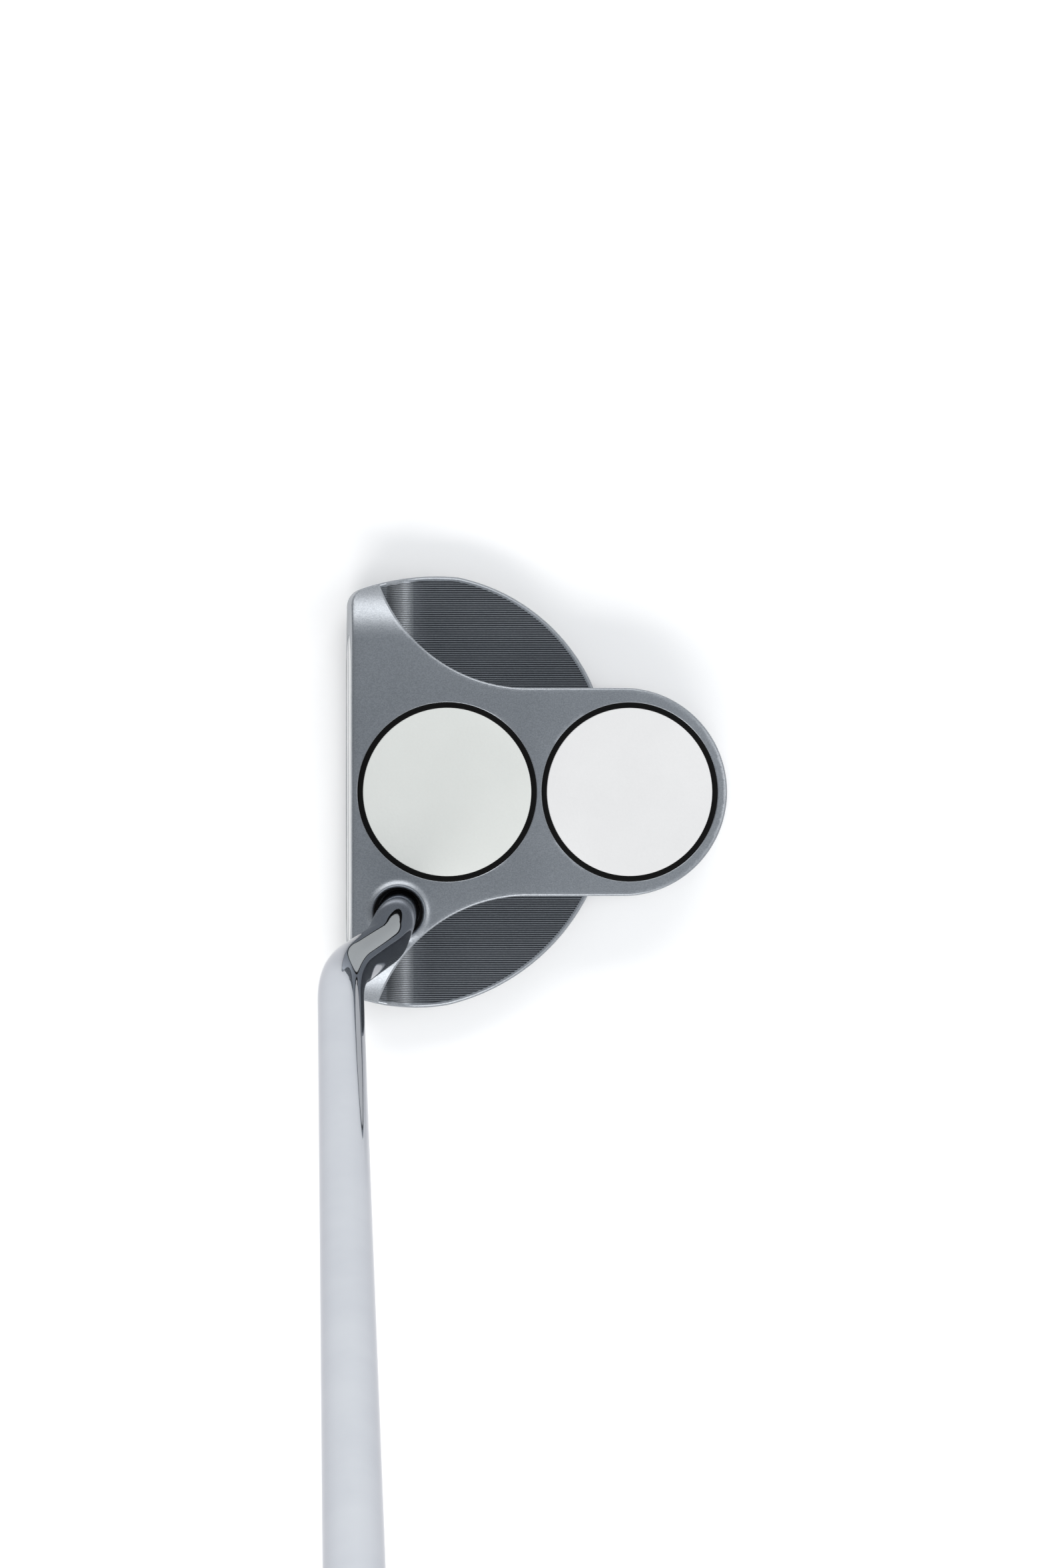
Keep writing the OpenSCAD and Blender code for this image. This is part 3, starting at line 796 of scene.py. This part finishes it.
# ------------------------------------------------------------------ grip
def on_shaft(local):
    """Points given across (x), towards the player's view (y) and up the shaft (z from the ground)."""
    q = np.asarray(local, float)
    c, s = math.cos(LEAN), math.sin(LEAN)
    return np.c_[LINE_X + q[:, 0], GROUND_Y + q[:, 1] * c - q[:, 2] * s, q[:, 1] * s + q[:, 2] * c]


GRIP_N = 220


def grip_section(s, extra=0.0):
    """Cross-section of the pistol grip at distance s up from its open end."""
    h = BUTT_S - GRIP_S0
    t = s / h
    a = np.linspace(0, 2 * math.pi, GRIP_N, endpoint=False)
    r = 9.85 + 3.3 * t ** 1.15
    bulge = 2.5 * smoothstep(t, 0.66, 0.9)
    x = (r + 0.3 * smoothstep(t, 0.7, 0.95)) * np.cos(a)
    y = r * np.sin(a)
    y = np.where(y < 0, y * (1 + bulge / r), y)
    flat = 0.86 * r - 1.0 + 0.9 * t
    over = y - flat
    soft = 0.8
    y = np.where(over > -soft, flat - soft + soft * np.tanh((over + soft) / (2 * soft)) * 1.3, y)
    return a, x * (1 + extra / r), y * (1 + extra / r)


def build_grip():
    h = BUTT_S - GRIP_S0
    rows = []
    stations = np.r_[0.0, 0.25, 0.6, 1.1, np.arange(1.6, h - 0.6, 0.55), h - 0.5, h - 0.2, h]
    for s in stations:
        a, x, y = grip_section(s)
        r = np.hypot(x, y)
        lip = 0.0
        if s < 1.1:
            lip = -0.9 * (1 - math.sqrt(1 - (1 - s / 1.1) ** 2))
        if s > h - 0.5:
            lip = -0.35 * (1 - (h - s) / 0.5) ** 2
        pattern = np.zeros(GRIP_N)
        if 12 < s < h - 8:
            deg = np.degrees(a)
            side = np.minimum(abs(deg - 200), abs(deg - 340)) < 44
            u = 0.5 * (r * np.radians(deg))
            rising = np.cos(2 * math.pi * (s / 3.2 + u / 1.6)) > 0.55
            diag = rising | (np.cos(2 * math.pi * (s / 3.2 - u / 1.6)) > 0.55)
            fade = min(1, (s - 12) / 3, (h - 8 - s) / 3)
            pattern = np.where(side & diag, -0.28 * fade, 0.0)
            front = (abs(deg - 90) < 34) & (abs(x) < 6.2)
            bars = (np.cos(2 * math.pi * s / 2.2) > 0.35) & (24 < s < h - 30)
            pattern = np.where(front & bars, -0.22, pattern)
        k = 1 + (lip + pattern) / r
        rows.append(on_shaft(np.c_[x * k, y * k, np.full(GRIP_N, GRIP_S0 + s)]))
    a = np.linspace(0, 2 * math.pi, GRIP_N, endpoint=False)

    def bore(s, r):
        return on_shaft(np.c_[r * np.cos(a), r * np.sin(a), np.full(GRIP_N, s)])
    shell = Shell()
    shell.loft([bore(GRIP_S0 + 14, 6.35), bore(GRIP_S0 + 2, 6.3), bore(GRIP_S0 + 0.2, 6.6)] + rows
               + [bore(BUTT_S, 8.0), bore(BUTT_S - 14, 7.8)])
    return mesh_object("grip_rubber_sleeve", shell.v, shell.f, 34)


def build_cap():
    """Butt cap: rounded rim, shallow dish, raised inner ring, vent hole."""
    h = BUTT_S - GRIP_S0
    _, x, y = grip_section(h)
    a = np.linspace(0, 2 * math.pi, GRIP_N, endpoint=False)

    def ring(scale, z, round_mix=0.0, r=0.0):
        px = (1 - round_mix) * x * scale + round_mix * r * np.cos(a)
        py = (1 - round_mix) * y * scale + round_mix * r * np.sin(a)
        return on_shaft(np.c_[px, py, np.full(GRIP_N, BUTT_S + z)])
    rows = [ring(0.5, 0.05), ring(0.965, 0.05), ring(0.99, 0.35), ring(0.995, 0.9), ring(0.985, 1.6),
            ring(0.955, 2.3), ring(0.9, 2.9), ring(0.82, 3.3), ring(0.74, 3.45), ring(0.7, 3.3),
            ring(0.67, 3.1)]
    rows += [ring(0, 3.1, 1, 7.2), ring(0, 3.12, 1, 5.0), ring(0, 3.5, 1, 4.6), ring(0, 3.55, 1, 3.9),
             ring(0, 3.4, 1, 2.6), ring(0, 3.0, 1, 1.7), ring(0, 2.6, 1, 1.25), ring(0, -8.9, 1, 1.25),
             ring(0, -8.9, 1, 6.7), ring(0, 0.0, 1, 6.8), ring(0.5, 0.05)]
    shell = Shell()
    shell.loft(rows)
    return mesh_object("grip_butt_cap", shell.v, shell.f, 50)


# ------------------------------------------------------------------ sole plate, screws and weights
SOLE_X0, SOLE_X1, SOLE_W, SOLE_T, SOLE_CORNER = -17.0, 36.0, 20.0, 3.5, 5.0
SCREWS = [(-13.0, 12.0), (-13.0, -12.0), (21.0, 15.0), (21.0, -15.0), (51.5, 0.0)]
SLOT_R = 1.3


def turned(c, profile, n):
    """Loops of a turned shape about a vertical axis at c, from (radius, height) pairs."""
    return [with_z(circle(c, r, n), z) for r, z in profile]


def sole_loop(shrink):
    w, c = SOLE_W - shrink, SOLE_CORNER
    r = c - shrink
    x0 = SOLE_X0
    return chain(
        arc((x0 + c, -SOLE_W + c), r, 180, 270, 0.3),
        line((x0 + c, -w), (SOLE_X1, -w), 1.5),
        arc((SOLE_X1, 0), w, -90, 90, 0.8),
        line((SOLE_X1, w), (x0 + c, w), 1.5),
        arc((x0 + c, SOLE_W - c), r, 90, 180, 0.3),
        line((x0 + shrink, SOLE_W - c), (x0 + shrink, -SOLE_W + c), 1.5))


def build_sole_plate():
    """Sole plate with a rounded lower edge, countersinks and two long milled grooves."""
    shell = Shell()
    outer = sole_loop(0)
    n = len(outer)

    def row(shrink, z):
        p = offset_loop(outer, shrink)
        return with_z(p, z)
    edge = [row(0, SOLE_T), row(0, 0.5), row(0.04, 0.3), row(0.15, 0.13), row(0.3, 0.04), row(0.5, 0.0)]
    shell.loft(edge)
    holes = [circle(c, 3.6, 48) for c in SCREWS]
    slots = []
    turn = np.linspace(-math.pi / 2, math.pi / 2, 14)
    for y in (-6.5, 6.5):
        slot = [(19 + SLOT_R * math.cos(t), y + SLOT_R * math.sin(t)) for t in turn]
        slot += [(-2 - SLOT_R * math.cos(t), y - SLOT_R * math.sin(t)) for t in turn]
        slots.append(slot)
    inner = edge[-1][:, :2]
    grid = grid_points(-17, 57, -20, 20, 2.0)
    ok = inside(inner, grid[:, 0], grid[:, 1]) & (distance_to(inner, grid[:, 0], grid[:, 1]) > 0.8)
    for h in holes + slots:
        ok &= ~inside(h, grid[:, 0], grid[:, 1]) & (distance_to(h, grid[:, 0], grid[:, 1]) > 0.6)
    v, f = fill(inner, holes + slots, grid[ok])
    shell.add(with_z(v, 0.0), f[:, ::-1])
    for c in SCREWS:
        shell.loft(turned(c, [(3.6, 0.0), (3.5, 0.08), (1.85, 1.85), (1.85, SOLE_T)], 48))
    for s in slots:
        low = offset_loop(s, 0.35)
        shell.loft([with_z(s, 0.0), with_z(low, 0.4)])
        shell.add(with_z(low, 0.4), [tuple(range(len(low)))])
    return mesh_object("sole_plate_milled", shell.v, shell.f, 30)


def hexagon(c, r, z, n=48):
    """A hexagon with its points spread evenly, so that it lofts to a circle."""
    a = np.linspace(0, 2 * math.pi, n, endpoint=False)
    k = r * math.cos(math.pi / 6) / np.cos((a % (math.pi / 3)) - math.pi / 6)
    return np.c_[c[0] + k * np.cos(a), c[1] + k * np.sin(a), np.full(n, z)]


def build_screws():
    shell = Shell()
    for c in SCREWS:
        rows = turned(c, [(1.7, 8.0), (1.7, 1.9), (3.15, 0.3), (3.15, 0.2), (3.0, 0.12), (1.6, 0.1)], 48)
        rows += [hexagon(c, 1.3, 0.25), hexagon(c, 1.3, 1.6)]
        shell.loft(rows)
        for row in (rows[0], rows[-1]):
            shell.add(row, [tuple(range(len(row)))])
    return mesh_object("sole_screws_set", shell.v, shell.f, 30)


def build_weight(name, side):
    """Threaded weight with a turned flange and a hex socket."""
    c = (WEIGHT_X, side * WEIGHT_Y)
    z1 = SEAT_Z - SEAL_T - RUN_FIT
    z0 = z1 - FLANGE_T
    z = z1 + THREAD_L
    profile = [(3.2, z1 + 3.55), (4.5, z1 + 3.55), (4.95, z)]
    while z - THREAD_RING_STEP > z1 + 0.5:
        profile += [(4.6, z - THREAD_RING_STEP / 2), (4.95, z - THREAD_RING_STEP)]
        z -= THREAD_RING_STEP
    profile += [(4.7, z1 + 0.3), (4.7, z1), (6.4, z1), (6.5, z1 - 0.1), (6.5, z0 + 0.45), (6.37, z0 + 0.15),
                (6.1, z0), (5.3, z0), (5.2, z0 + 0.15), (4.9, z0 + 0.15), (4.8, z0), (3.3, z0)]
    rows = turned(c, profile, 96) + [hexagon(c, 2.9, z0 + 0.25, 96), hexagon(c, 2.9, z0 + 3.2, 96)]
    return revolve(name, rows)


# ------------------------------------------------------------------ materials
def set_stops(node, stops):
    """Gives a colour ramp these (position, colour) stops."""
    elements = node.color_ramp.elements
    while len(elements) < len(stops):
        elements.new(0.5)
    for element, (position, color) in zip(elements, stops):
        element.position = position
        element.color = (*color, 1)


class Mat:
    """A Principled material with helpers for the nodes around it."""

    def __init__(self, name, metallic=0.0, roughness=0.5, color=(0.5, 0.5, 0.5), specular=0.5):
        self.m = bpy.data.materials.new(name)
        self.m.use_nodes = True
        self.t = self.m.node_tree
        self.b = self.t.nodes["Principled BSDF"]
        self.b.inputs["Metallic"].default_value = metallic
        self.b.inputs["Roughness"].default_value = roughness
        self.b.inputs["Base Color"].default_value = (*color, 1)
        self.b.inputs["Specular IOR Level"].default_value = specular
        self.coord = self.node("ShaderNodeTexCoord")

    def node(self, kind, **props):
        n = self.t.nodes.new(kind)
        for k, v in props.items():
            setattr(n, k, v)
        return n

    def link(self, a, b):
        self.t.links.new(a, b)

    def mapping(self, scale, rotation=(0, 0, 0)):
        n = self.node("ShaderNodeMapping")
        n.inputs["Scale"].default_value = scale
        n.inputs["Rotation"].default_value = rotation
        self.link(self.coord.outputs["Object"], n.inputs["Vector"])
        return n.outputs["Vector"]

    def noise(self, scale, detail=3.0, rough=0.5, stretch=(1, 1, 1), rotation=(0, 0, 0)):
        n = self.node("ShaderNodeTexNoise")
        n.inputs["Scale"].default_value = scale
        n.inputs["Detail"].default_value = detail
        n.inputs["Roughness"].default_value = rough
        self.link(self.mapping(stretch, rotation), n.inputs["Vector"])
        return n.outputs["Fac"]

    def voronoi(self, scale, feature="F1"):
        n = self.node("ShaderNodeTexVoronoi", feature=feature)
        n.inputs["Scale"].default_value = scale
        self.link(self.coord.outputs["Object"], n.inputs["Vector"])
        return n.outputs["Distance"]

    def ramp(self, fac, stops):
        n = self.node("ShaderNodeValToRGB")
        set_stops(n, stops)
        self.link(fac, n.inputs["Fac"])
        return n.outputs["Color"]

    def range(self, fac, lo, hi):
        n = self.node("ShaderNodeMapRange")
        n.inputs["To Min"].default_value = lo
        n.inputs["To Max"].default_value = hi
        self.link(fac, n.inputs["Value"])
        return n.outputs["Result"]

    def mix(self, fac, a, b, blend="MIX"):
        n = self.node("ShaderNodeMix", data_type="RGBA", blend_type=blend)
        if isinstance(fac, float):
            n.inputs[0].default_value = fac
        else:
            self.link(fac, n.inputs[0])
        for k, v in ((6, a), (7, b)):
            if isinstance(v, tuple):
                n.inputs[k].default_value = (*v, 1)
            else:
                self.link(v, n.inputs[k])
        return n.outputs[2]

    def color(self, socket):
        self.link(socket, self.b.inputs["Base Color"])
        return self

    def rough(self, socket):
        self.link(socket, self.b.inputs["Roughness"])
        return self

    def bump(self, height, strength, distance):
        n = self.node("ShaderNodeBump")
        n.inputs["Strength"].default_value = strength
        n.inputs["Distance"].default_value = distance
        self.link(height, n.inputs["Height"])
        if self.b.inputs["Normal"].is_linked:
            self.link(self.b.inputs["Normal"].links[0].from_socket, n.inputs["Normal"])
        self.link(n.outputs["Normal"], self.b.inputs["Normal"])
        return self


def satin_metal(name, low, high, rough_lo, rough_hi, grain=0.5):
    m = Mat(name, metallic=1.0)
    broad = m.noise(38.0, 3, 0.55)
    fine = m.noise(2600.0, 2, 0.6)
    base = m.ramp(broad, [(0.3, low), (0.7, high)])
    dark = tuple(c * 0.72 for c in low)
    bright = tuple(c * 1.3 for c in high)
    speck = m.ramp(m.noise(3300.0, 1, 0.5), [(0.35, dark), (0.65, bright)])
    m.color(m.mix(0.27, base, speck))
    m.rough(m.range(fine, rough_lo, rough_hi))
    m.bump(fine, grain, 0.00003)
    m.bump(m.noise(900.0, 2, 0.5), grain * 0.5, 0.00004)
    return m.m


def brushed(name, low, high, stretch, rough=(0.25, 0.42), rotation=(0, 0, 0)):
    m = Mat(name, metallic=1.0)
    streak = m.noise(900.0, 4, 0.6, stretch, rotation)
    broad = m.noise(45.0, 3)
    stops = [(0.3, low), (0.7, high)]
    m.color(m.mix(0.5, m.ramp(streak, stops), m.ramp(broad, stops)))
    m.rough(m.range(streak, *rough))
    m.bump(streak, 0.35, 0.00002)
    return m.m


def plastic(name, low, high, rough, tex_scale, bump, specular=0.5, broad_scale=30.0):
    m = Mat(name, specular=specular)
    broad = m.noise(broad_scale, 3)
    fine = m.noise(tex_scale, 3, 0.6)
    stops = [(0.35, low), (0.65, high)]
    m.color(m.mix(0.35, m.ramp(broad, stops), m.ramp(fine, stops)))
    m.rough(m.range(fine, *rough))
    m.bump(fine, bump, 0.00004)
    return m


def leathery(name, low, high, specular=0.35):
    """White disc: cream plastic with a very fine pebbled skin."""
    m = plastic(name, low, high, (0.42, 0.6), 1800.0, 0.25, specular, 60.0)
    m.bump(m.voronoi(1150.0, "SMOOTH_F1"), 0.4, 0.00006)
    return m.m


def chrome(name):
    m = Mat(name, metallic=1.0)
    m.b.inputs["Specular Tint"].default_value = (0.62, 0.62, 0.64, 1)
    haze = m.noise(60.0, 3)
    m.color(m.ramp(haze, [(0.3, (0.58, 0.605, 0.64)), (0.7, (0.62, 0.645, 0.675))]))
    m.rough(m.range(m.noise(240.0, 3), 0.015, 0.045))
    return m.m


def rubber(name):
    m = plastic(name, (0.012, 0.012, 0.014), (0.026, 0.026, 0.029), (0.55, 0.78), 1600.0, 0.5, 0.4)
    m.bump(m.noise(5200.0, 2), 0.3, 0.00002)
    return m.m


M_HEAD = satin_metal("satin_head", (0.272, 0.29, 0.312), (0.312, 0.331, 0.355), 0.34, 0.46)
# Painted shade: the groove faces get darker copies of the head metal that stand in for the shade in the
# narrow grooves; the ramp's grooves get a lighter copy because the tilted ramp catches more light.
M_GROOVE_SHADE = satin_metal("groove_painted_shade", (0.086, 0.092, 0.103), (0.114, 0.122, 0.135), 0.5, 0.65, 0.3)
M_RAMP_GROOVE_LESS_SHADE = satin_metal("ramp_groove_painted_shade", (0.15, 0.158, 0.168), (0.185, 0.195, 0.205), 0.4, 0.5)
M_CHROME = chrome("polished_chrome")
# Painted shade: the front disc is the same white plastic as the rear one, its colour made darker to stand in
# for the shade the shaft casts on it.
M_DISC_F_SHADED = leathery("disc_white_front_painted_shade", (0.575, 0.59, 0.57), (0.605, 0.62, 0.60))
M_DISC_R = leathery("disc_white_rear", (0.62, 0.62, 0.62), (0.65, 0.65, 0.65))
M_RING = plastic("ring_black", (0.0012, 0.0012, 0.0012), (0.003, 0.003, 0.003),
                 (0.45, 0.6), 1500.0, 0.15, 0.08).m
M_INSERT = plastic("insert_white", (0.74, 0.75, 0.75), (0.82, 0.82, 0.82), (0.35, 0.5), 900.0, 0.2).m
M_SOLE = brushed("sole_brushed", (0.36, 0.365, 0.37), (0.5, 0.505, 0.51), (1.0, 0.03, 1.0))
M_SCREW = brushed("screw_steel", (0.25, 0.25, 0.26), (0.38, 0.38, 0.39), (1, 1, 0.2))
M_WEIGHT = brushed("weight_steel", (0.3, 0.3, 0.31), (0.46, 0.46, 0.47), (1, 1, 0.1))
M_RUBBER = rubber("grip_rubber")
M_GLUE = plastic("cured_adhesive", (0.45, 0.4, 0.25), (0.55, 0.5, 0.34), (0.3, 0.5), 500.0, 0.4).m
M_TAPE = plastic("grip_tape_paper", (0.6, 0.58, 0.5), (0.7, 0.68, 0.6), (0.6, 0.8), 1200.0, 0.5).m
M_SEAL = plastic("seal_black", (0.01, 0.01, 0.01), (0.02, 0.02, 0.02), (0.4, 0.6), 900.0, 0.3).m


# ------------------------------------------------------------------ pieces onto the frame
head = build_head()
finish_piece(head, M_HEAD, "club", "satin_aluminium", "head_body")
finish_piece(build_shaft(), M_CHROME, "club", "chrome", "shaft")
finish_piece(build_disc("disc_front_white", False), M_DISC_F_SHADED, "club", "white_disc", "front_disc")
finish_piece(build_disc("disc_rear_white", True), M_DISC_R, "club", "white_disc", "rear_disc")
finish_piece(build_ring("ring_front_black", False), M_RING, "club", "black_ring", "front_disc_ring")
finish_piece(build_ring("ring_rear_black", True), M_RING, "club", "black_ring", "rear_disc_ring")
finish_piece(build_insert(), M_INSERT, "club", "white_urethane", "face_insert")
finish_piece(build_grip(), M_RUBBER, "club", "grip_rubber", "grip")
finish_piece(build_cap(), M_RUBBER, "club", "grip_rubber", "grip_cap")
finish_piece(build_sole_plate(), M_SOLE, "club", "brushed_sole", "sole_plate")
finish_piece(build_screws(), M_SCREW, "club", "screw_steel", "sole_plate_screws")
finish_piece(build_weight("weight_turned_heel", -1), M_WEIGHT, "weight_heel", "weight_steel",
             "sole_weight_heel")
finish_piece(build_weight("weight_turned_toe", 1), M_WEIGHT, "weight_toe", "weight_steel", "sole_weight_toe")
for node_name, mat in (("insert_adhesive", M_GLUE), ("front_disc_pad", M_GLUE), ("rear_disc_pad", M_GLUE),
                       ("shaft_epoxy", M_GLUE), ("grip_tape", M_TAPE), ("hosel_ring", M_RING),
                       ("weight_seal_heel", M_SEAL), ("weight_seal_toe", M_SEAL)):
    NODES[node_name].data.materials.clear()
    NODES[node_name].data.materials.append(mat)


# ------------------------------------------------------------------ camera
AIM = Vector((17.95, 1.9, 25.0)) * MM
CAM_DISTANCE = 2.2
CAM_TILT = math.radians(1.65)
VIEW_HEIGHT = 0.37333

cam_data = bpy.data.cameras.new("camera")
cam = bpy.data.objects.new("camera", cam_data)
bpy.context.scene.collection.objects.link(cam)
cam.location = AIM + CAM_DISTANCE * Vector((-math.sin(CAM_TILT), 0, math.cos(CAM_TILT)))
cam.rotation_euler = (0, -CAM_TILT, 0)
cam_data.sensor_width = 36.0
cam_data.lens = 36.0 * CAM_DISTANCE / VIEW_HEIGHT
cam_data.clip_start = 0.05
cam_data.clip_end = 50.0
bpy.context.scene.camera = cam


# ------------------------------------------------------------------ floor, world and lights
def build_floor():
    me = bpy.data.meshes.new("floor")
    half = 6.0
    corners = [(-half, -half, 0), (half, -half, 0), (half, half, 0), (-half, half, 0)]
    me.from_pydata(corners, [], [(0, 1, 2, 3)])
    ob = bpy.data.objects.new("floor", me)
    bpy.context.scene.collection.objects.link(ob)
    m = Mat("floor_pale", roughness=0.9, color=(0.98, 0.98, 0.98), specular=0.1)
    m.color(m.ramp(m.noise(3.0, 2), [(0.3, (0.975, 0.975, 0.975)), (0.7, (0.99, 0.99, 0.99))]))
    me.materials.append(m.m)


def area_light(name, at, size, power):
    """A soft box that points at the club's head."""
    data = bpy.data.lights.new(name, "AREA")
    data.shape = "RECTANGLE"
    data.size, data.size_y = size
    data.energy = power
    data.color = (1.0, 0.98, 0.96)
    ob = bpy.data.objects.new(name, data)
    bpy.context.scene.collection.objects.link(ob)
    ob.location = at
    ob.rotation_euler = (-Vector(at)).to_track_quat("-Z", "Y").to_euler()


def build_world():
    w = bpy.data.worlds.new("studio")
    bpy.context.scene.world = w
    w.use_nodes = True
    t = w.node_tree
    bg = t.nodes["Background"]
    coord = t.nodes.new("ShaderNodeTexCoord")
    sep = t.nodes.new("ShaderNodeSeparateXYZ")
    ramp = t.nodes.new("ShaderNodeValToRGB")
    t.links.new(coord.outputs["Generated"], sep.inputs[0])
    t.links.new(sep.outputs["Z"], ramp.inputs["Fac"])
    side = t.nodes.new("ShaderNodeMapRange")
    side.inputs["From Min"].default_value = -1.0
    t.links.new(sep.outputs["X"], side.inputs["Value"])
    gain = t.nodes.new("ShaderNodeValToRGB")
    t.links.new(side.outputs["Result"], gain.inputs["Fac"])
    gain.color_ramp.interpolation = "B_SPLINE"
    falls = [(0.0, 0.45), (0.3, 0.74), (0.5, 1.0), (1.0, 1.06)]
    set_stops(gain, [(p, (v, v, v)) for p, v in falls])
    t.links.new(gain.outputs["Color"], bg.inputs["Strength"])
    stops = [(0.0, 0.8), (0.5, 0.72), (0.7, 0.66), (0.9, 0.45), (1.0, 0.38)]
    set_stops(ramp, [(p, (v * (1 - 0.08 * p), v, v * (1 + 0.09 * p))) for p, v in stops])
    t.links.new(ramp.outputs["Color"], bg.inputs["Color"])


build_floor()
build_world()
area_light("toe_box", (-0.1, 1.2, 1.15), (1.7, 0.75), 14)
area_light("heel_box", (-0.1, -1.2, 1.15), (1.7, 0.75), 18)
area_light("back_box", (1.3, 0.05, 1.1), (0.8, 0.4), 4.0)
bpy.context.scene.view_settings.view_transform = "Standard"
